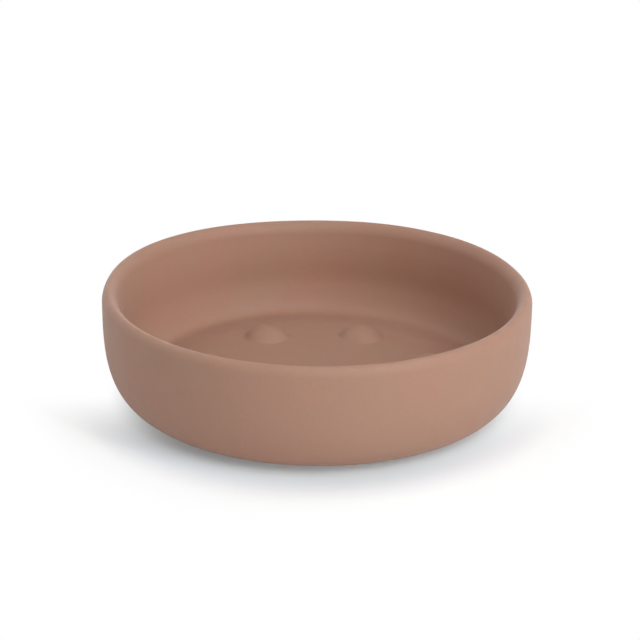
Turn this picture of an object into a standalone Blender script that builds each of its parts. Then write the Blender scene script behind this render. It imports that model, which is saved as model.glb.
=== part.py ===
"""Round stoneware soap dish: a soft-cornered bowl whose floor carries a ring of domed nubs that lift the
soap clear of the water, with a recessed foot underneath that holds four soft pads. Metres, +Z up, with the
origin on the table under the middle of the dish."""

import math

import bpy

NAME = "soap_dish"

# Sizes of the bowl
BODY_DIAMETER = 0.120
BODY_HEIGHT = 0.0324  # from the table to the top of the lip
WALL_THICKNESS = 0.0041  # just below the lip
WALL_DRAFT = 0.0002  # what the wall gains on its inner side, down to the top of the fillet
FLOOR_THICKNESS = 0.0036
LIP_CREST_SHARE = 0.43  # of the wall's thickness, from its outer face in to the lip's crest
LIP_OUTER_HEIGHT = 0.0029  # of the rounding on the lip's outer side
LIP_INNER_HEIGHT = 0.0027  # of the rounding on its inner side
PLUMB_BAND_HEIGHT = 0.0014  # straight stretch of the outside, just below the lip
OUTER_CURVE_WIDTH = 0.0165  # from the foot's outer edge to the plumb wall
OUTER_CURVE_EXPONENT = 3.0
WALL_FILLET_WIDTH = 0.0066
WALL_FILLET_HEIGHT = 0.0200
WALL_FILLET_EXPONENT = 2.4
GUTTER_DEPTH = 0.0009  # of the shallow gutter between the floor and the wall's fillet
GUTTER_RAMP_WIDTH = 0.0085

# Sizes of the foot
FOOT_RING_WIDTH = 0.0030
RECESS_RAMP_WIDTH = 0.0020

# Sizes of the nubs that lift the soap
NUB_COUNT = 7
NUB_HEIGHT = 0.0030
NUB_DIAMETER = 0.0138  # over the fillet round its foot
NUB_FILLET_RADIUS = 0.0010
NUB_MARGIN = 0.0012  # from the edge of the flat floor to a nub
NUB_ROOT_DEPTH = 0.0012  # how far a nub's root reaches into the floor
NUB_SINK = 0.00004  # lets the end of the fillet cross the floor at an angle

# Sizes of the pads
PAD_COUNT = 4
PAD_DIAMETER = 0.0100
PAD_THICKNESS = 0.0015
PAD_EDGE_RADIUS = 0.0004
PAD_PROUD = 0.0004  # how far the pads stand out below the foot ring
PAD_MARGIN = 0.0010  # from the edge of the recess's flat to a pad
ADHESIVE_GAP = 0.0003

CIRCLE_EXPONENT = 2

# Finishes, with colours in linear RGB
STONEWARE_COLOUR = (0.44, 0.245, 0.172)
STONEWARE_ROUGHNESS = 0.62
PAD_COLOUR = (0.55, 0.54, 0.52)
PAD_ROUGHNESS = 0.70

# How finely the curves are cut
BODY_STEPS = 72
NUB_STEPS = 28
PAD_SIDES = 32
OUTER_CURVE_CUTS = 14
WALL_FILLET_CUTS = 9
LIP_INNER_CUTS = 7
LIP_OUTER_CUTS = 5
RAMP_CUTS = 5
NUB_CAP_CUTS = 5
NUB_FILLET_CUTS = 4
PAD_EDGE_CUTS = 2
AXIS_MERGE_DISTANCE = 0.00001

# Heights and radii that follow from the sizes above
FOOT_Z = PAD_PROUD
RECESS_Z = PAD_THICKNESS + ADHESIVE_GAP
FLOOR_Z = RECESS_Z + FLOOR_THICKNESS
GUTTER_Z = FLOOR_Z - GUTTER_DEPTH
OUTER_CURVE_TOP_Z = BODY_HEIGHT - LIP_OUTER_HEIGHT - PLUMB_BAND_HEIGHT
OUTER_RADIUS = BODY_DIAMETER / 2
LIP_CREST_RADIUS = OUTER_RADIUS - WALL_THICKNESS * LIP_CREST_SHARE
INNER_RADIUS = OUTER_RADIUS - WALL_THICKNESS
FILLET_TOP_RADIUS = INNER_RADIUS - WALL_DRAFT
GUTTER_RADIUS = FILLET_TOP_RADIUS - WALL_FILLET_WIDTH
FLOOR_RADIUS = GUTTER_RADIUS - GUTTER_RAMP_WIDTH
FOOT_OUTER_RADIUS = OUTER_RADIUS - OUTER_CURVE_WIDTH
FOOT_INNER_RADIUS = FOOT_OUTER_RADIUS - FOOT_RING_WIDTH
RECESS_RADIUS = FOOT_INNER_RADIUS - RECESS_RAMP_WIDTH
NUB_RING_RADIUS = FLOOR_RADIUS - NUB_MARGIN - NUB_DIAMETER / 2
PAD_RING_RADIUS = RECESS_RADIUS - PAD_MARGIN - PAD_DIAMETER / 2


def clear_scene():
    for obj in list(bpy.data.objects):
        bpy.data.objects.remove(obj, do_unlink=True)


def new_collection(name):
    collection = bpy.data.collections.new(name)
    bpy.context.scene.collection.children.link(collection)
    return collection


def principled(name, colour, roughness):
    """A non-metallic Principled material."""
    material = bpy.data.materials.new(name)
    material.use_nodes = True
    shader = material.node_tree.nodes["Principled BSDF"]
    shader.inputs["Base Color"].default_value = (*colour, 1.0)
    shader.inputs["Roughness"].default_value = roughness
    shader.inputs["Metallic"].default_value = 0.0
    material.diffuse_color = (*colour, 1.0)
    return material


def quarter_superellipse(width, height, exponent, cuts):
    """Offsets from the centre, from the widest point (width, 0) round to (0, height)."""
    for step in range(cuts + 1):
        turn = math.pi / 2 * step / cuts
        across = max(math.cos(turn), 0.0) ** (2 / exponent)
        along = math.sin(turn) ** (2 / exponent)
        yield width * across, height * along


def soft_ramp(start, end):
    """Points from one (radius, height) to another along half a cosine wave, level at both ends."""
    points = []
    for step in range(RAMP_CUTS + 1):
        share = step / RAMP_CUTS
        rise = (1 - math.cos(math.pi * share)) / 2
        points.append((start[0] + (end[0] - start[0]) * share, start[1] + (end[1] - start[1]) * rise))
    return points


def inner_side():
    """From the middle of the floor down into the gutter, and up the wall's fillet."""
    ramp = soft_ramp((FLOOR_RADIUS, FLOOR_Z), (GUTTER_RADIUS, GUTTER_Z))
    centre_z = GUTTER_Z + WALL_FILLET_HEIGHT
    fillet = quarter_superellipse(
        WALL_FILLET_WIDTH, WALL_FILLET_HEIGHT, WALL_FILLET_EXPONENT, WALL_FILLET_CUTS
    )
    rising = [(GUTTER_RADIUS + across, centre_z - down) for across, down in fillet][::-1]
    return [(0.0, FLOOR_Z), *ramp, *rising[1:]]


def lip():
    """From the top of the inner wall over the crest to the top of the outer wall."""
    inner = quarter_superellipse(
        LIP_CREST_RADIUS - INNER_RADIUS, LIP_INNER_HEIGHT, CIRCLE_EXPONENT, LIP_INNER_CUTS
    )
    outer = quarter_superellipse(
        OUTER_RADIUS - LIP_CREST_RADIUS, LIP_OUTER_HEIGHT, CIRCLE_EXPONENT, LIP_OUTER_CUTS
    )
    rising = [(LIP_CREST_RADIUS - across, BODY_HEIGHT - LIP_INNER_HEIGHT + up) for across, up in inner]
    falling = [(LIP_CREST_RADIUS + across, BODY_HEIGHT - LIP_OUTER_HEIGHT + up) for across, up in outer]
    return rising + falling[::-1][1:]


def outer_side():
    """Down the plumb band and round the soft corner to the foot's outer edge."""
    curve = quarter_superellipse(
        OUTER_CURVE_WIDTH, OUTER_CURVE_TOP_Z - FOOT_Z, OUTER_CURVE_EXPONENT, OUTER_CURVE_CUTS
    )
    return [(FOOT_OUTER_RADIUS + across, OUTER_CURVE_TOP_Z - down) for across, down in curve]


def underside():
    """In over the foot ring, then up a soft ramp to the flat of the recess and along it to the middle."""
    ramp = soft_ramp((FOOT_INNER_RADIUS, FOOT_Z), (RECESS_RADIUS, RECESS_Z))
    return [*ramp, (0.0, RECESS_Z)]


def nub_profile():
    """A round cap over a fillet that runs tangent into the floor, which is at z = 0 here."""
    half = NUB_DIAMETER / 2
    lean = 2 * math.atan2(NUB_HEIGHT, half)
    cap_radius = half / math.sin(lean) - NUB_FILLET_RADIUS
    points = []
    for step in range(NUB_CAP_CUTS + 1):
        turn = lean * step / NUB_CAP_CUTS
        points.append((cap_radius * math.sin(turn), NUB_HEIGHT - cap_radius * (1 - math.cos(turn))))
    for step in range(1, NUB_FILLET_CUTS + 1):
        turn = lean * (1 - step / NUB_FILLET_CUTS)
        points.append((half - NUB_FILLET_RADIUS * math.sin(turn), NUB_FILLET_RADIUS * (1 - math.cos(turn))))
    return [*points, (half, -NUB_ROOT_DEPTH), (0.0, -NUB_ROOT_DEPTH)]


def turned(name, profile, steps, collection):
    """A solid turned about its own Z axis from (radius, height) points that run down its outer side."""
    mesh = bpy.data.meshes.new(name)
    edges = [(index, index + 1) for index in range(len(profile) - 1)]
    mesh.from_pydata([(radius, 0.0, height) for radius, height in profile], edges, [])
    obj = bpy.data.objects.new(name, mesh)
    collection.objects.link(obj)
    screw = obj.modifiers.new("turn", "SCREW")
    screw.axis = "Z"
    screw.angle = 2 * math.pi
    screw.screw_offset = 0.0
    screw.steps = steps
    screw.render_steps = steps
    screw.use_merge_vertices = True
    screw.merge_threshold = AXIS_MERGE_DISTANCE
    screw.use_smooth_shade = True
    return obj


def ring_places(count, radius, first_turn):
    """Evenly spaced (x, y) places on a circle."""
    for index in range(count):
        turn = first_turn + 2 * math.pi * index / count
        yield radius * math.cos(turn), radius * math.sin(turn)


def add_nubs(collection):
    """The nubs, as solids that the body takes in. A gap between two of them is at the back."""
    profile = nub_profile()
    first_turn = math.pi / 2 - math.pi / NUB_COUNT
    for index, (x, y) in enumerate(ring_places(NUB_COUNT, NUB_RING_RADIUS, first_turn), 1):
        nub = turned(f"nub_{index}", profile, NUB_STEPS, collection)
        nub.location = (x, y, FLOOR_Z - NUB_SINK)
        nub.display_type = "WIRE"
        nub.hide_render = True


def add_body(collection, nubs, material):
    profile = inner_side() + lip() + outer_side() + underside()
    body = turned("dish_body", profile, BODY_STEPS, collection)
    body.data.materials.append(material)
    union = body.modifiers.new("nubs", "BOOLEAN")
    union.operation = "UNION"
    union.solver = "EXACT"
    union.operand_type = "COLLECTION"
    union.collection = nubs
    return body


def add_pad(name, x, y, collection, material):
    """A soft disc with an eased edge, its underside on the table."""
    bpy.ops.mesh.primitive_cylinder_add(
        vertices=PAD_SIDES, radius=PAD_DIAMETER / 2, depth=PAD_THICKNESS, location=(x, y, PAD_THICKNESS / 2)
    )
    pad = bpy.context.object
    pad.name = name
    pad.data.name = name
    for owner in list(pad.users_collection):
        owner.objects.unlink(pad)
    collection.objects.link(pad)
    pad.data.materials.append(material)
    pad.data.shade_smooth()
    edge = pad.modifiers.new("eased_edge", "BEVEL")
    edge.width = PAD_EDGE_RADIUS
    edge.segments = PAD_EDGE_CUTS
    edge.limit_method = "ANGLE"
    return pad


def build():
    clear_scene()
    parts = new_collection(NAME)
    tools = new_collection(NAME + "_tools")
    origin = bpy.data.objects.new(NAME + "_origin", None)
    parts.objects.link(origin)
    stoneware = principled("matt_stoneware", STONEWARE_COLOUR, STONEWARE_ROUGHNESS)
    soft_pad = principled("pad_rubber", PAD_COLOUR, PAD_ROUGHNESS)
    add_nubs(tools)
    pieces = [add_body(parts, tools, stoneware)]
    for index, (x, y) in enumerate(ring_places(PAD_COUNT, PAD_RING_RADIUS, math.pi / PAD_COUNT), 1):
        pieces.append(add_pad(f"non_slip_pad_{index}", x, y, parts, soft_pad))
    for piece in pieces:
        piece.parent = origin


build()
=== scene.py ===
"""Looks for a round stoneware soap dish: a finely turned body with its matt coat, four soft pads on their
adhesive film, a pale table top, softboxes and the photograph's camera. Metres, +Z up."""

import math

import bpy
import numpy as np
from mathutils import Matrix, Vector


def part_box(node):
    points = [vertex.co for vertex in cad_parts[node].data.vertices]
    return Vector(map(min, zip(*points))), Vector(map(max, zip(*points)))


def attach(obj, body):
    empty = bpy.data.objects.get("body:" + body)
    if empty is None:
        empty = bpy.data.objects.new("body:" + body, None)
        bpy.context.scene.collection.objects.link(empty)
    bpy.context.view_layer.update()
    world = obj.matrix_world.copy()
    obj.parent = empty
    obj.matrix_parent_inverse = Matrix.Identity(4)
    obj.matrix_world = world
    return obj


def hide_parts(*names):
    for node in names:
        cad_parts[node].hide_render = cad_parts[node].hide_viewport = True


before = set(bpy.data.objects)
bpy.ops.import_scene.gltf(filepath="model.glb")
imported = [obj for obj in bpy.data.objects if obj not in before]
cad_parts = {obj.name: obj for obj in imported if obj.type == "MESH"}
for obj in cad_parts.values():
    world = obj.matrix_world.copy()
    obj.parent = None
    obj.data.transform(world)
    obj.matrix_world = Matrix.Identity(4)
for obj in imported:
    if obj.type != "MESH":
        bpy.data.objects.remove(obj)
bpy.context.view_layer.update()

BODY_LOW, BODY_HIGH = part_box("dish_body")
PAD_LOW, PAD_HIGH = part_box("non_slip_pad_1")
PAD_NODES = sorted(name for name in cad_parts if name.startswith("non_slip_pad"))

# Sizes of the bowl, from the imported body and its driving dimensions
OUTER_RADIUS = (BODY_HIGH.x - BODY_LOW.x) / 2
TOP_Z = BODY_HIGH.z
FOOT_Z = BODY_LOW.z
WALL_THICKNESS = 0.0041
WALL_DRAFT = 0.0002
FLOOR_THICKNESS = 0.0036
LIP_CREST_SHARE = 0.43  # of the wall's thickness, from its outer face
LIP_OUTER_HEIGHT = 0.0029
LIP_INNER_HEIGHT = 0.0035  # a little more than the solid's, as its soft edge in the photograph shows
WALL_LEAN = 0.0008  # how much further in than plumb the inside comes below the lip
WALL_LEAN_DEPTH = 0.011  # below the crest, where it has come in all the way
WALL_LEAN_END = 0.020  # where the wall's fillet has taken it up again
PLUMB_BAND_HEIGHT = 0.0014
OUTER_CURVE_WIDTH = 0.0165
OUTER_CURVE_EXPONENT = 3.0
WALL_FILLET_WIDTH = 0.0066
WALL_FILLET_HEIGHT = 0.0200
WALL_FILLET_EXPONENT = 2.4
GUTTER_DEPTH = 0.0009
GUTTER_RAMP_WIDTH = 0.0085
FOOT_RING_WIDTH = 0.0030
RECESS_RAMP_WIDTH = 0.0020
CIRCLE_EXPONENT = 2

# Sizes of the nubs
NUB_COUNT = 7
NUB_HEIGHT = 0.0030
NUB_DIAMETER = 0.0138
NUB_FILLET_RADIUS = 0.0010
NUB_MARGIN = 0.0012

# Sizes of the pads and their adhesive film
PAD_DIAMETER = PAD_HIGH.x - PAD_LOW.x
PAD_THICKNESS = PAD_HIGH.z - PAD_LOW.z
PAD_EDGE_RADIUS = 0.0004
PAD_WAIST = 0.00008  # how far the moulded side draws in at mid height
PAD_WAIST_SHARES = (0.25, 0.5, 0.75)  # of the side's height, where the waist is shaped
ADHESIVE_GAP = 0.0003
FILM_INSET = 0.0004  # from the pad's side in to the film's edge
FILM_EDGE = ADHESIVE_GAP / 3  # the film's eased edge

# Places that follow from the sizes above
RECESS_Z = PAD_THICKNESS + ADHESIVE_GAP
FLOOR_Z = RECESS_Z + FLOOR_THICKNESS
GUTTER_Z = FLOOR_Z - GUTTER_DEPTH
OUTER_CURVE_TOP_Z = TOP_Z - LIP_OUTER_HEIGHT - PLUMB_BAND_HEIGHT
LIP_CREST_RADIUS = OUTER_RADIUS - WALL_THICKNESS * LIP_CREST_SHARE
INNER_RADIUS = OUTER_RADIUS - WALL_THICKNESS
FILLET_TOP_RADIUS = INNER_RADIUS - WALL_DRAFT
GUTTER_RADIUS = FILLET_TOP_RADIUS - WALL_FILLET_WIDTH
FLOOR_RADIUS = GUTTER_RADIUS - GUTTER_RAMP_WIDTH
FOOT_OUTER_RADIUS = OUTER_RADIUS - OUTER_CURVE_WIDTH
FOOT_INNER_RADIUS = FOOT_OUTER_RADIUS - FOOT_RING_WIDTH
RECESS_RADIUS = FOOT_INNER_RADIUS - RECESS_RAMP_WIDTH
NUB_RING_RADIUS = FLOOR_RADIUS - NUB_MARGIN - NUB_DIAMETER / 2

# Where the wall has warped in the kiln: degrees from +X, reach to each side in degrees, and how far out and
# up the lip has moved there
WARPS = ((143, 37, 0.0013, 0.0), (91, 35, 0.0, -0.00045), (38, 25, 0.0004, 0.0))

# How finely the pieces are cut
SEGMENTS = 384
PAD_SIDES = 96
QUARTER_CUTS = 240  # of a quarter curve, before its points are spaced out
RAMP_CUTS = 120
PAD_EDGE_CUTS = 8
ROUND_STEP = 0.00022  # spacing of the rings over the lip
CURVE_STEP = 0.0006  # over the soft corner, the wall and the gutter
NUB_STEP = 0.00036  # over the ring of nubs
FLAT_STEP = 0.0030  # over flats that carry nothing

# Camera, fitted to the outline of the dish in the photograph
CAMERA_DISTANCE = 0.550
CAMERA_TURN = 0.030  # radians that the dish stands turned, so that its back is further to the left
CAMERA_PITCH = 0.3629  # radians below the horizon
CAMERA_ROLL = 0.0111
CAMERA_PIVOT_Z = 0.0304
CAMERA_AIM = Vector((0.00086, 0.0, 0.0221453))  # before that turn
FOCAL_PIXELS = 1963.8
IMAGE_PIXELS = 640
SENSOR_WIDTH = 36.0

# Where the coat is worn, and where the foot is bare
WORN_LIP_DEPTH = LIP_INNER_HEIGHT / 4  # below the crest
WORN_NUB_DEPTH = NUB_HEIGHT / 5  # below a nub's top
BARE_HEIGHT = 0.0001  # above the foot ring, up to which all of it is bare
COATED_HEIGHT = 0.0004  # and from which all of it is coated

# Colours, in linear RGB
STONEWARE = (0.44, 0.245, 0.172)
BARE_CLAY = (0.50, 0.33, 0.25)
RUBBER = (0.55, 0.54, 0.52)
FILM = (0.72, 0.72, 0.70)
TABLE = (0.85, 0.85, 0.85)
WHITE = (1.0, 1.0, 1.0)

# Their shades, as factors of the colours
COAT_WARM = (1.025, 0.985, 0.99)
COAT_COOL = (0.975, 1.015, 1.01)
COAT_GRAIN_SHADE = 0.93
# the coat darker towards the bottom of the gutter round the floor
COAT_GUTTER_DARKENING = 0.94
COAT_WORN_SHADE = 1.12
DARK_SPECK_SHADE = 0.45
PALE_SPECK_SHADE = 1.6
CLAY_SHADES = (0.88, 1.1)
RUBBER_SHADES = (0.95, 1.04)
DUST_SHADE = 1.4
FOAM_CELL_SHADE = 0.85

# How much of those shades shows where they are strongest
COAT_GRAIN_SHARE = 0.5
COAT_GUTTER_SHARE = 0.35
COAT_WORN_SHARES = (0.1, 0.45)  # from patch to patch
DARK_SPECK_SHARE = 0.35
PALE_SPECK_SHARE = 0.30
DUST_SHARE = 0.5

# Roughness, between its lowest and highest places
COAT_ROUGHNESS = (0.58, 0.66)
CLAY_EXTRA_ROUGHNESS = 0.2
RUBBER_ROUGHNESS = (0.62, 0.78)
FOAM_ROUGHNESS = (0.45, 0.6)
TABLE_ROUGHNESS = 0.9
COAT_SHEEN = 0.12
COAT_SHEEN_ROUGHNESS = 0.4

# Sizes of the soft noise that gives each of them its look
COAT_CLOUD = 0.022
COAT_GRAIN = 0.0007
COAT_WORN_PATCH = 0.004
COAT_GLOSS_CLOUD = 0.006
CLAY_GRIT = 0.0005
CLAY_RAGGED_EDGE = 0.0012
RUBBER_CLOUD = 0.003
RUBBER_GLOSS_CLOUD = 0.0012
FOAM_CELL = 0.0002
FOAM_GLOSS_CLOUD = 0.0006

# Dots: spacing, radius, and the share of the places that have one
DARK_SPECKS = (0.0030, 0.00011, 0.30)
PALE_SPECKS = (0.0023, 0.00009, 0.25)
PIN_HOLES = (0.0042, 0.00012, 0.35)
DUST = (0.0011, 0.00005, 0.30)
DOT_SOFTNESS = 0.3  # of the radius, to each side of it

# Relief: sizes and depths
COAT_WAVE = 0.0035
COAT_WAVE_DEPTH = 0.00003
COAT_TOOTH = 0.0004
COAT_TOOTH_DEPTH = 0.00001
PIN_HOLE_DEPTH = -0.00003
RUBBER_TOOTH = 0.00018
RUBBER_TOOTH_DEPTH = 0.000012
FOAM_CELL_DEPTH = 0.00001

# How the bare clay's edge wanders: by how much of its mask, and between which values the coat begins
RAGGED_REACH = 0.15
BARE_EDGE = (0.45, 0.55)

# The table as the camera sees it
TABLE_PAINTED_SHADOW = {  # painted shadow: gains on the table's colour under the lamps, by the distance from the middle of the dish
    0.049: (0.75, 0.90, 0.95),
    0.057: (0.90, 1.00, 1.05),
    0.064: (1.05, 1.10, 1.15),
    0.070: (1.20, 1.25, 1.25),
}
TABLE_PAINTED_SHADOW_SIDES = (0.91, 0.99)  # painted shadow, times this much at the left and at the right of the dish
TABLE_PAINTED_LIFT = {  # painted light that lifts the table's darkest places, close under the dish
    0.047: (0.25, 0.25, 0.25),
    0.049: (0.20, 0.20, 0.20),
    0.054: (0.05, 0.05, 0.05),
    0.057: (0.00, 0.00, 0.00),
}
TABLE_WHITE = (0.060, 0.084)  # the distances between which the table turns plain white for the camera
TABLE_WHITE_BACK = (-0.040, 0.000)  # it also does so beside and behind the dish, between these places along Y
TABLE_WHITE_NEAR = (0.046, 0.060)  # and these distances
WORLD_LEVEL = 0.01
TABLE_SIZE = 6.0

# Softboxes: azimuth from the camera's side towards +X, elevation, distance, width, height and level. The
# level is the brightness that each gives by itself to a white card turned towards it.
SOFTBOXES = {
    "key": (42, 30, 1.2, 1.0, 1.0, 0.50),
    "key_high": (30, 50, 1.2, 0.8, 0.8, 0.35),
    "side": (65, 9, 1.4, 0.9, 0.45, 0.05),
    "side_high": (70, 62, 1.2, 0.6, 0.6, 0.05),
    "front_left": (-30, 25, 1.3, 0.8, 0.8, 0.05),
    "fill": (-80, 45, 1.2, 0.8, 0.8, 0.20),
    "back_left": (-125, 10, 1.5, 1.2, 0.6, 0.15),
    "back_middle": (180, 9, 1.5, 1.4, 0.6, 0.30),
    "back_right": (130, 10, 1.5, 1.2, 0.6, 0.10),
    "high_left": (-130, 40, 1.3, 0.8, 0.8, 0.15),
    "high_right": (125, 40, 1.3, 0.8, 0.8, 0.15),
}


def superellipse(width, height, exponent, cuts=QUARTER_CUTS):
    """A quarter curve as offsets from its centre, from (width, 0) round to (0, height)."""
    turn = np.linspace(0, math.pi / 2, cuts + 1)
    across = width * np.clip(np.cos(turn), 0, 1) ** (2 / exponent)
    along = height * np.sin(turn) ** (2 / exponent)
    return across, along


def spaced(radii, heights, step):
    """The same curve with its points evenly spaced."""
    length = np.concatenate([[0], np.cumsum(np.hypot(np.diff(radii), np.diff(heights)))])
    stops = np.linspace(0, length[-1], max(2, round(length[-1] / step) + 1))
    return np.stack([np.interp(stops, length, radii), np.interp(stops, length, heights)], axis=1)


def ramp(start, end, step):
    """Half a cosine wave from one (radius, height) to another, level at both ends."""
    share = np.linspace(0, 1, RAMP_CUTS + 1)
    rise = (1 - np.cos(math.pi * share)) / 2
    return spaced(start[0] + (end[0] - start[0]) * share, start[1] + (end[1] - start[1]) * rise, step)


def smooth_between(value, low, high):
    """0 below low, 1 above high, eased between."""
    share = np.clip((value - low) / (high - low), 0, 1)
    return share * share * (3 - 2 * share)


def wall_lean(depth):
    """How much further in the inside of the wall is, by the depth below the lip's crest."""
    coming = 1 - (1 - np.clip(depth / WALL_LEAN_DEPTH, 0, 1)) ** 2
    going = 1 - smooth_between(depth, WALL_LEAN_DEPTH, WALL_LEAN_END)
    return WALL_LEAN * coming * going


def inner_rings(rings):
    """Which of the body's rings lie on its inside, up to the lip's crest."""
    return np.arange(len(rings)) <= np.argmax(rings[:, 1])


def body_profile():
    """Rings as (radius, height), from the middle of the floor over the lip to the middle of the recess."""
    nub_reach = NUB_DIAMETER / 2 + NUB_STEP
    inner_nub = NUB_RING_RADIUS - nub_reach
    outer_nub = NUB_RING_RADIUS + nub_reach
    pieces = [
        spaced([0, inner_nub], [FLOOR_Z, FLOOR_Z], FLAT_STEP),
        spaced([inner_nub, outer_nub], [FLOOR_Z, FLOOR_Z], NUB_STEP),
        spaced([outer_nub, FLOOR_RADIUS], [FLOOR_Z, FLOOR_Z], CURVE_STEP),
        ramp((FLOOR_RADIUS, FLOOR_Z), (GUTTER_RADIUS, GUTTER_Z), CURVE_STEP),
    ]
    across, down = superellipse(WALL_FILLET_WIDTH, WALL_FILLET_HEIGHT, WALL_FILLET_EXPONENT)
    fillet_z = GUTTER_Z + WALL_FILLET_HEIGHT
    pieces.append(spaced(GUTTER_RADIUS + across[::-1], fillet_z - down[::-1], CURVE_STEP))
    lip_foot_z = TOP_Z - LIP_INNER_HEIGHT
    pieces.append(spaced([FILLET_TOP_RADIUS, INNER_RADIUS], [fillet_z, lip_foot_z], CURVE_STEP))
    across, up = superellipse(LIP_CREST_RADIUS - INNER_RADIUS, LIP_INNER_HEIGHT, CIRCLE_EXPONENT)
    pieces.append(spaced(LIP_CREST_RADIUS - across, lip_foot_z + up, ROUND_STEP))
    across, up = superellipse(OUTER_RADIUS - LIP_CREST_RADIUS, LIP_OUTER_HEIGHT, CIRCLE_EXPONENT)
    lip_side_z = TOP_Z - LIP_OUTER_HEIGHT
    pieces.append(spaced(LIP_CREST_RADIUS + across[::-1], lip_side_z + up[::-1], ROUND_STEP))
    pieces.append(spaced([OUTER_RADIUS, OUTER_RADIUS], [lip_side_z, OUTER_CURVE_TOP_Z], CURVE_STEP))
    across, down = superellipse(OUTER_CURVE_WIDTH, OUTER_CURVE_TOP_Z - FOOT_Z, OUTER_CURVE_EXPONENT)
    pieces.append(spaced(FOOT_OUTER_RADIUS + across, OUTER_CURVE_TOP_Z - down, CURVE_STEP))
    pieces.append(spaced([FOOT_OUTER_RADIUS, FOOT_INNER_RADIUS], [FOOT_Z, FOOT_Z], CURVE_STEP))
    pieces.append(ramp((FOOT_INNER_RADIUS, FOOT_Z), (RECESS_RADIUS, RECESS_Z), ROUND_STEP))
    pieces.append(spaced([RECESS_RADIUS, 0], [RECESS_Z, RECESS_Z], FLAT_STEP))
    rings = np.concatenate([pieces[0]] + [piece[1:] for piece in pieces[1:]])[1:-1]
    inside = inner_rings(rings)
    rings[inside, 0] -= wall_lean(TOP_Z - rings[inside, 1])
    return rings


def nub_rise(away):
    """Height over the floor at a distance from a nub's middle: a round cap over a fillet."""
    half = NUB_DIAMETER / 2
    lean = 2 * math.atan2(NUB_HEIGHT, half)
    cap_radius = half / math.sin(lean) - NUB_FILLET_RADIUS
    meets = cap_radius * math.sin(lean)
    cap = NUB_HEIGHT - cap_radius + np.sqrt(np.clip(cap_radius**2 - away**2, 0, None))
    inside = np.clip(half - away, 0, NUB_FILLET_RADIUS)
    fillet = NUB_FILLET_RADIUS - np.sqrt(NUB_FILLET_RADIUS**2 - inside**2)
    return np.where(away <= meets, cap, np.where(away < half, fillet, 0.0))


def nub_places():
    """The nubs' middles. A gap between two of them is at the back."""
    for index in range(NUB_COUNT):
        turn = math.pi / 2 - math.pi / NUB_COUNT + 2 * math.pi * index / NUB_COUNT
        yield NUB_RING_RADIUS * math.cos(turn), NUB_RING_RADIUS * math.sin(turn)


def warped(radius, height, turn):
    """The same places as the kiln has left them: nothing moves at the floor, and most at the lip."""
    share = smooth_between(height, FLOOR_Z, TOP_Z)
    for direction, reach, out, up in WARPS:
        near = np.clip((np.degrees(turn) - direction) / reach, -1, 1)
        wave = np.cos(math.pi / 2 * near) ** 2 * share
        radius = radius + out * wave
        height = height + up * wave
    return radius, height


def closed_rings(count):
    """Faces of a surface of rings, with a fan to a middle point at each end."""
    across = np.arange(SEGMENTS)
    following = (across + 1) % SEGMENTS
    faces = []
    for ring in range(count - 1):
        near = ring * SEGMENTS
        far = near + SEGMENTS
        quads = np.stack([near + across, far + across, far + following, near + following], axis=1)
        faces.extend(quads.tolist())
    last = (count - 1) * SEGMENTS
    first_middle = np.full(SEGMENTS, count * SEGMENTS)
    faces.extend(np.stack([first_middle, across, following], axis=1).tolist())
    faces.extend(np.stack([first_middle + 1, last + following, last + across], axis=1).tolist())
    return faces


def new_piece(name, points, faces, materials):
    mesh = bpy.data.meshes.new(name)
    mesh.from_pydata(points, [], faces)
    for material in materials:
        mesh.materials.append(material)
    mesh.shade_smooth()
    obj = bpy.data.objects.new(name, mesh)
    bpy.context.scene.collection.objects.link(obj)
    return obj


def add_mask(mesh, name, values):
    """A value at each vertex that the material reads by name."""
    attribute = mesh.attributes.new(name, "FLOAT", "POINT")
    attribute.data.foreach_set("value", np.asarray(values, np.float32))


def add_body(material):
    """The turned body with its nubs, and masks for its coat's worn places, its bare places and a gutter that
    is darker towards its bottom.
    """
    rings = body_profile()
    turn = np.append(np.tile(2 * math.pi * np.arange(SEGMENTS) / SEGMENTS, len(rings)), [0, 0])
    radius = np.append(np.repeat(rings[:, 0], SEGMENTS), [0, 0])
    height = np.append(np.repeat(rings[:, 1], SEGMENTS), [FLOOR_Z, RECESS_Z])
    inside = np.append(np.repeat(inner_rings(rings), SEGMENTS), [True, False])
    warped_radius, warped_height = warped(radius, height, turn)
    x = warped_radius * np.cos(turn)
    y = warped_radius * np.sin(turn)
    on_floor = np.isclose(height, FLOOR_Z) & (radius < FLOOR_RADIUS)
    rise = np.zeros(len(x))
    for nub_x, nub_y in nub_places():
        rise += np.where(on_floor, nub_rise(np.hypot(x - nub_x, y - nub_y)), 0.0)
    z = warped_height + rise
    faces = closed_rings(len(rings))
    body = new_piece("dish_body_fine", np.stack([x, y, z], axis=1).tolist(), faces, [material])
    crest = smooth_between(height, TOP_Z - WORN_LIP_DEPTH, TOP_Z)
    nub_tops = smooth_between(rise, NUB_HEIGHT - WORN_NUB_DEPTH, NUB_HEIGHT)
    add_mask(body.data, "worn", np.maximum(crest, nub_tops))
    # darker towards the bottom of the gutter round the floor
    gutter_dark = smooth_between(FLOOR_Z - height, 0, GUTTER_DEPTH)
    add_mask(body.data, "gutter_dark", np.where(inside, gutter_dark, 0.0))
    add_mask(body.data, "bare", 1 - smooth_between(height, FOOT_Z + BARE_HEIGHT, FOOT_Z + COATED_HEIGHT))
    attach(body, "root")
    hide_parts("dish_body")
    return body


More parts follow.
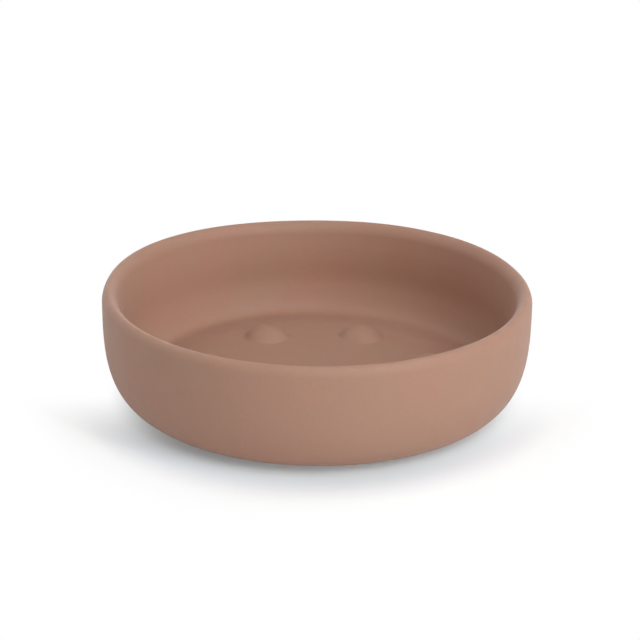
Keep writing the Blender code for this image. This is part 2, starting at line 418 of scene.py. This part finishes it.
def turned_disc(name, centre, profile, material):
    """A closed piece turned about a vertical axis from (radius, height) points, from the top down."""
    turn = 2 * math.pi * np.arange(PAD_SIDES) / PAD_SIDES
    points = []
    for radius, height in profile:
        for angle in turn:
            points.append((centre.x + radius * math.cos(angle), centre.y + radius * math.sin(angle), height))
    points.append((centre.x, centre.y, profile[0][1]))
    points.append((centre.x, centre.y, profile[-1][1]))
    faces = []
    last = (len(profile) - 1) * PAD_SIDES
    for side in range(PAD_SIDES):
        after = (side + 1) % PAD_SIDES
        for ring in range(len(profile) - 1):
            near = ring * PAD_SIDES
            far = near + PAD_SIDES
            faces.append((near + side, far + side, far + after, near + after))
        faces.append((len(points) - 2, side, after))
        faces.append((len(points) - 1, last + after, last + side))
    return new_piece(name, points, faces, [material])


def pad_profile():
    """A moulded disc: eased edges above and below, and a side that draws in slightly between them."""
    radius = PAD_DIAMETER / 2
    flat = radius - PAD_EDGE_RADIUS
    across, along = superellipse(PAD_EDGE_RADIUS, PAD_EDGE_RADIUS, CIRCLE_EXPONENT, PAD_EDGE_CUTS)
    upper = [(flat + a, PAD_THICKNESS - PAD_EDGE_RADIUS + b) for a, b in zip(across, along)][::-1]
    lower = [(flat + a, PAD_EDGE_RADIUS - b) for a, b in zip(across, along)]
    side = PAD_THICKNESS - 2 * PAD_EDGE_RADIUS
    middle = [
        (radius - PAD_WAIST * math.sin(math.pi * share), PAD_THICKNESS - PAD_EDGE_RADIUS - side * share)
        for share in PAD_WAIST_SHARES
    ]
    return [(flat / 2, PAD_THICKNESS), *upper, *middle, *lower, (flat / 2, 0.0)]


def add_pads(rubber, film):
    for name in PAD_NODES:
        low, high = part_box(name)
        centre = (low + high) / 2
        pad = turned_disc(name + "_fine", centre, pad_profile(), rubber)
        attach(pad, "root")
        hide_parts(name)
        radius = PAD_DIAMETER / 2 - FILM_INSET
        profile = [
            (radius - FILM_EDGE, RECESS_Z),
            (radius, RECESS_Z - FILM_EDGE),
            (radius, PAD_THICKNESS + FILM_EDGE),
            (radius - FILM_EDGE, PAD_THICKNESS),
        ]
        sticker = turned_disc(name.replace("non_slip_pad", "adhesive_film"), centre, profile, film)
        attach(sticker, "root")


class Nodes:
    """Short calls for making a material's nodes."""

    def __init__(self, name):
        self.material = bpy.data.materials.new(name)
        self.material.use_nodes = True
        self.tree = self.material.node_tree
        self.shader = self.tree.nodes["Principled BSDF"]
        self.place = self.add("ShaderNodeTexCoord").outputs["Object"]

    def add(self, kind, **settings):
        node = self.tree.nodes.new(kind)
        for key, value in settings.items():
            setattr(node, key, value)
        return node

    def join(self, output, socket):
        self.tree.links.new(output, socket)

    def noise(self, size, detail=2.0, roughness=0.5):
        """Soft noise whose features are about the given size across, as a value that varies round 0.5."""
        node = self.add("ShaderNodeTexNoise")
        node.inputs["Scale"].default_value = 1 / size
        node.inputs["Detail"].default_value = detail
        node.inputs["Roughness"].default_value = roughness
        self.join(self.place, node.inputs["Vector"])
        return node.outputs["Fac"]

    def clouds(self, size, low=0, high=1, spread=0.2, **settings):
        """The same noise, stretched so that its spread to each side of 0.5 runs from low to high."""
        return self.ranged(self.noise(size, **settings), 0.5 - spread, 0.5 + spread, low, high)

    def dots(self, spacing, radius, kept):
        """Round dots, 1 inside: one for each cell of the given spacing, in the kept share of the cells."""
        node = self.add("ShaderNodeTexVoronoi")
        node.inputs["Scale"].default_value = 1 / spacing
        self.join(self.place, node.inputs["Vector"])
        edges = [radius / spacing * (1 + side * DOT_SOFTNESS) for side in (1, -1)]
        near = self.ranged(node.outputs["Distance"], *edges, 0, 1)
        split = self.add("ShaderNodeSeparateColor")
        self.join(node.outputs["Color"], split.inputs["Color"])
        chosen = self.math("GREATER_THAN", split.outputs["Red"], 1 - kept)
        return self.math("MULTIPLY", near, chosen)

    def mask(self, name):
        return self.add("ShaderNodeAttribute", attribute_name=name).outputs["Fac"]

    def math(self, operation, first, second):
        node = self.add("ShaderNodeMath", operation=operation)
        for socket, value in zip(node.inputs, (first, second)):
            if isinstance(value, (int, float)):
                socket.default_value = value
            else:
                self.join(value, socket)
        return node.outputs[0]

    def ranged(self, value, low, high, new_low, new_high):
        node = self.add("ShaderNodeMapRange", interpolation_type="SMOOTHSTEP")
        for key, number in zip(("From Min", "From Max", "To Min", "To Max"), (low, high, new_low, new_high)):
            node.inputs[key].default_value = number
        self.join(value, node.inputs["Value"])
        return node.outputs["Result"]

    def blend(self, share, first, second):
        """One colour turning into the other as the share goes from 0 to 1."""
        node = self.add("ShaderNodeMix", data_type="RGBA")
        sockets = [socket for socket in node.inputs if socket.type == "RGBA"]
        for socket, colour in zip(sockets, (first, second)):
            if isinstance(colour, tuple):
                socket.default_value = (*colour, 1.0)
            else:
                self.join(colour, socket)
        self.join(share, node.inputs["Factor"])
        return next(socket for socket in node.outputs if socket.type == "RGBA")

    def stops(self, length, colours):
        """The colour at a length of up to 1 m, blended between those given for set lengths."""
        node = self.add("ShaderNodeValToRGB")
        elements = node.color_ramp.elements
        while len(elements) < len(colours):
            elements.new(0.5)
        for element, (place, colour) in zip(elements, colours.items()):
            element.position = place
            element.color = (*colour, 1.0)
        self.join(length, node.inputs["Fac"])
        return node.outputs["Color"]

    def mixed(self, share, first, second):
        """One shader turning into the other as the share goes from 0 to 1."""
        node = self.add("ShaderNodeMixShader")
        self.join(share, node.inputs["Fac"])
        self.join(first.outputs[0], node.inputs[1])
        self.join(second.outputs[0], node.inputs[2])
        return node

    def bump(self, height, depth, below=None):
        """Relief of the given depth for a height from 0 to 1, over another relief where one is given."""
        node = self.add("ShaderNodeBump")
        node.inputs["Distance"].default_value = depth
        self.join(height, node.inputs["Height"])
        if below is not None:
            self.join(below, node.inputs["Normal"])
        return node.outputs["Normal"]


def tinted(colour, factor):
    """The colour times one number, or each channel times its own."""
    factors = factor if isinstance(factor, tuple) else (factor,) * len(colour)
    return tuple(channel * share for channel, share in zip(colour, factors))


def stoneware_material():
    """Fired clay under a thin matt coat: soft mottling, fine grain, few specks, worn crests, a bare foot."""
    nodes = Nodes("stoneware_coat")
    cloud = nodes.clouds(COAT_CLOUD, detail=3.0)
    colour = nodes.blend(cloud, tinted(STONEWARE, COAT_WARM), tinted(STONEWARE, COAT_COOL))
    grain = nodes.clouds(COAT_GRAIN, high=COAT_GRAIN_SHARE, detail=3.0, roughness=0.6)
    colour = nodes.blend(grain, colour, tinted(STONEWARE, COAT_GRAIN_SHADE))
    # the coat darker towards the bottom of the gutter round the floor
    gutter_dark = nodes.math("MULTIPLY", nodes.mask("gutter_dark"), COAT_GUTTER_SHARE)
    colour = nodes.blend(gutter_dark, colour, tinted(STONEWARE, COAT_GUTTER_DARKENING))
    patchy = nodes.clouds(COAT_WORN_PATCH, *COAT_WORN_SHARES, spread=0.15, detail=3.0)
    worn = nodes.math("MULTIPLY", nodes.mask("worn"), patchy)
    colour = nodes.blend(worn, colour, tinted(STONEWARE, COAT_WORN_SHADE))
    dark_specks = nodes.math("MULTIPLY", nodes.dots(*DARK_SPECKS), DARK_SPECK_SHARE)
    colour = nodes.blend(dark_specks, colour, tinted(STONEWARE, DARK_SPECK_SHADE))
    pale_specks = nodes.math("MULTIPLY", nodes.dots(*PALE_SPECKS), PALE_SPECK_SHARE)
    colour = nodes.blend(pale_specks, colour, tinted(STONEWARE, PALE_SPECK_SHADE))
    wander = nodes.clouds(CLAY_RAGGED_EDGE, -RAGGED_REACH, RAGGED_REACH)
    bare = nodes.ranged(nodes.math("ADD", nodes.mask("bare"), wander), *BARE_EDGE, 0, 1)
    dark_grit, pale_grit = (tinted(BARE_CLAY, shade) for shade in CLAY_SHADES)
    gritty = nodes.blend(nodes.noise(CLAY_GRIT, detail=3.0), dark_grit, pale_grit)
    nodes.join(nodes.blend(bare, colour, gritty), nodes.shader.inputs["Base Color"])
    roughness = nodes.clouds(COAT_GLOSS_CLOUD, *COAT_ROUGHNESS, detail=3.0)
    roughness = nodes.math("ADD", roughness, nodes.math("MULTIPLY", bare, CLAY_EXTRA_ROUGHNESS))
    nodes.join(roughness, nodes.shader.inputs["Roughness"])
    relief = nodes.bump(nodes.noise(COAT_WAVE), COAT_WAVE_DEPTH)
    relief = nodes.bump(nodes.noise(COAT_TOOTH), COAT_TOOTH_DEPTH, relief)
    relief = nodes.bump(nodes.dots(*PIN_HOLES), PIN_HOLE_DEPTH, relief)
    nodes.join(relief, nodes.shader.inputs["Normal"])
    nodes.shader.inputs["Sheen Weight"].default_value = COAT_SHEEN
    nodes.shader.inputs["Sheen Roughness"].default_value = COAT_SHEEN_ROUGHNESS
    return nodes.material


def rubber_material():
    """Moulded soft rubber: faint mottling, a fine matt skin and a few dust specks."""
    nodes = Nodes("moulded_rubber")
    darker, paler = (tinted(RUBBER, shade) for shade in RUBBER_SHADES)
    colour = nodes.blend(nodes.clouds(RUBBER_CLOUD, detail=3.0), darker, paler)
    dust = nodes.math("MULTIPLY", nodes.dots(*DUST), DUST_SHARE)
    nodes.join(nodes.blend(dust, colour, tinted(RUBBER, DUST_SHADE)), nodes.shader.inputs["Base Color"])
    nodes.join(nodes.clouds(RUBBER_GLOSS_CLOUD, *RUBBER_ROUGHNESS), nodes.shader.inputs["Roughness"])
    nodes.join(nodes.bump(nodes.noise(RUBBER_TOOTH), RUBBER_TOOTH_DEPTH), nodes.shader.inputs["Normal"])
    return nodes.material


def film_material():
    """Milky foam film with open cells."""
    nodes = Nodes("adhesive_foam")
    cells = nodes.clouds(FOAM_CELL, spread=0.15)
    nodes.join(nodes.blend(cells, tinted(FILM, FOAM_CELL_SHADE), FILM), nodes.shader.inputs["Base Color"])
    nodes.join(nodes.clouds(FOAM_GLOSS_CLOUD, *FOAM_ROUGHNESS), nodes.shader.inputs["Roughness"])
    nodes.join(nodes.bump(cells, FOAM_CELL_DEPTH), nodes.shader.inputs["Normal"])
    return nodes.material


def table_material():
    """Matt white. The camera sees the lamps' shadow, deepened by painted shadow and lifted by painted light
    round the front of the dish, and plain white elsewhere.
    """
    nodes = Nodes("table_white")
    nodes.shader.inputs["Base Color"].default_value = (*TABLE, 1.0)
    nodes.shader.inputs["Roughness"].default_value = TABLE_ROUGHNESS
    span = nodes.add("ShaderNodeVectorMath", operation="LENGTH")
    nodes.join(nodes.place, span.inputs[0])
    away = span.outputs["Value"]
    axes = nodes.add("ShaderNodeSeparateXYZ")
    nodes.join(nodes.place, axes.inputs["Vector"])
    side = nodes.ranged(axes.outputs["X"], -OUTER_RADIUS, OUTER_RADIUS, *TABLE_PAINTED_SHADOW_SIDES)
    # painted shadow: the lit colour times gains set by distance from the dish and by side
    gain = nodes.add("ShaderNodeVectorMath", operation="SCALE")
    nodes.join(nodes.stops(away, TABLE_PAINTED_SHADOW), gain.inputs[0])
    nodes.join(side, gain.inputs["Scale"])
    lit = nodes.add("ShaderNodeBsdfDiffuse")
    nodes.join(gain.outputs["Vector"], lit.inputs["Color"])
    # painted light: an emission that lifts the darkest shadow close under the dish
    painted_lift = nodes.add("ShaderNodeEmission")
    nodes.join(nodes.stops(away, TABLE_PAINTED_LIFT), painted_lift.inputs["Color"])
    shade = nodes.add("ShaderNodeAddShader")
    nodes.join(lit.outputs[0], shade.inputs[0])
    nodes.join(painted_lift.outputs[0], shade.inputs[1])
    back = nodes.ranged(axes.outputs["Y"], *TABLE_WHITE_BACK, 0, 1)
    back = nodes.math("MULTIPLY", back, nodes.ranged(away, *TABLE_WHITE_NEAR, 0, 1))
    white = nodes.math("MAXIMUM", back, nodes.ranged(away, *TABLE_WHITE, 0, 1))
    seen = nodes.mixed(white, shade, nodes.add("ShaderNodeEmission"))
    camera_ray = nodes.add("ShaderNodeLightPath").outputs["Is Camera Ray"]
    table = nodes.mixed(camera_ray, nodes.shader, seen)
    nodes.join(table.outputs[0], nodes.tree.nodes["Material Output"].inputs["Surface"])
    return nodes.material


def add_table():
    half = TABLE_SIZE / 2
    corners = [(-half, -half, 0), (half, -half, 0), (half, half, 0), (-half, half, 0)]
    table = new_piece("table_top", corners, [(0, 1, 2, 3)], [table_material()])


def add_world():
    """Dim even light, with plain white behind everything that the camera sees."""
    world = bpy.data.worlds.new("studio")
    bpy.context.scene.world = world
    world.use_nodes = True
    tree = world.node_tree
    light = tree.nodes["Background"]
    light.inputs["Color"].default_value = (*WHITE, 1.0)
    light.inputs["Strength"].default_value = WORLD_LEVEL
    seen = tree.nodes.new("ShaderNodeBackground")
    seen.inputs["Color"].default_value = (*WHITE, 1.0)
    seen.inputs["Strength"].default_value = 1.0
    mix = tree.nodes.new("ShaderNodeMixShader")
    tree.links.new(tree.nodes.new("ShaderNodeLightPath").outputs["Is Camera Ray"], mix.inputs["Fac"])
    tree.links.new(light.outputs[0], mix.inputs[1])
    tree.links.new(seen.outputs[0], mix.inputs[2])
    tree.links.new(mix.outputs[0], tree.nodes["World Output"].inputs["Surface"])


def add_softbox(name, azimuth, elevation, distance, width, height, level):
    turn, lift = math.radians(azimuth) - CAMERA_TURN, math.radians(elevation)
    towards = Vector((math.sin(turn) * math.cos(lift), -math.cos(turn) * math.cos(lift), math.sin(lift)))
    lamp = bpy.data.lights.new(name, "AREA")
    lamp.shape = "RECTANGLE"
    lamp.size = width
    lamp.size_y = height
    lamp.energy = level * math.pi**2 * distance**2
    lamp.color = WHITE
    box = bpy.data.objects.new(name, lamp)
    box.location = towards * distance
    box.rotation_euler = towards.to_track_quat("Z", "Y").to_euler()
    bpy.context.scene.collection.objects.link(box)


def add_camera():
    back = Vector((0.0, -math.cos(CAMERA_PITCH), math.sin(CAMERA_PITCH)))
    turned = Matrix.Rotation(-CAMERA_TURN, 3, "Z")
    place = turned @ (Vector((0.0, 0.0, CAMERA_PIVOT_Z)) + back * CAMERA_DISTANCE)
    ahead = (turned @ CAMERA_AIM - place).normalized()
    right = ahead.cross(Vector((0.0, 0.0, 1.0))).normalized()
    up = right.cross(ahead)
    cosine, sine = math.cos(CAMERA_ROLL), math.sin(CAMERA_ROLL)
    axes = Matrix((cosine * right + sine * up, cosine * up - sine * right, -ahead)).transposed()
    camera = bpy.data.cameras.new("camera")
    camera.sensor_width = SENSOR_WIDTH
    camera.lens = FOCAL_PIXELS * SENSOR_WIDTH / IMAGE_PIXELS
    holder = bpy.data.objects.new("camera", camera)
    holder.matrix_world = Matrix.Translation(place) @ axes.to_4x4()
    bpy.context.scene.collection.objects.link(holder)
    bpy.context.scene.camera = holder


add_body(stoneware_material())
add_pads(rubber_material(), film_material())
add_table()
add_world()
for box_name, box_settings in SOFTBOXES.items():
    add_softbox(box_name, *box_settings)
add_camera()
bpy.context.scene.view_settings.view_transform = "Standard"
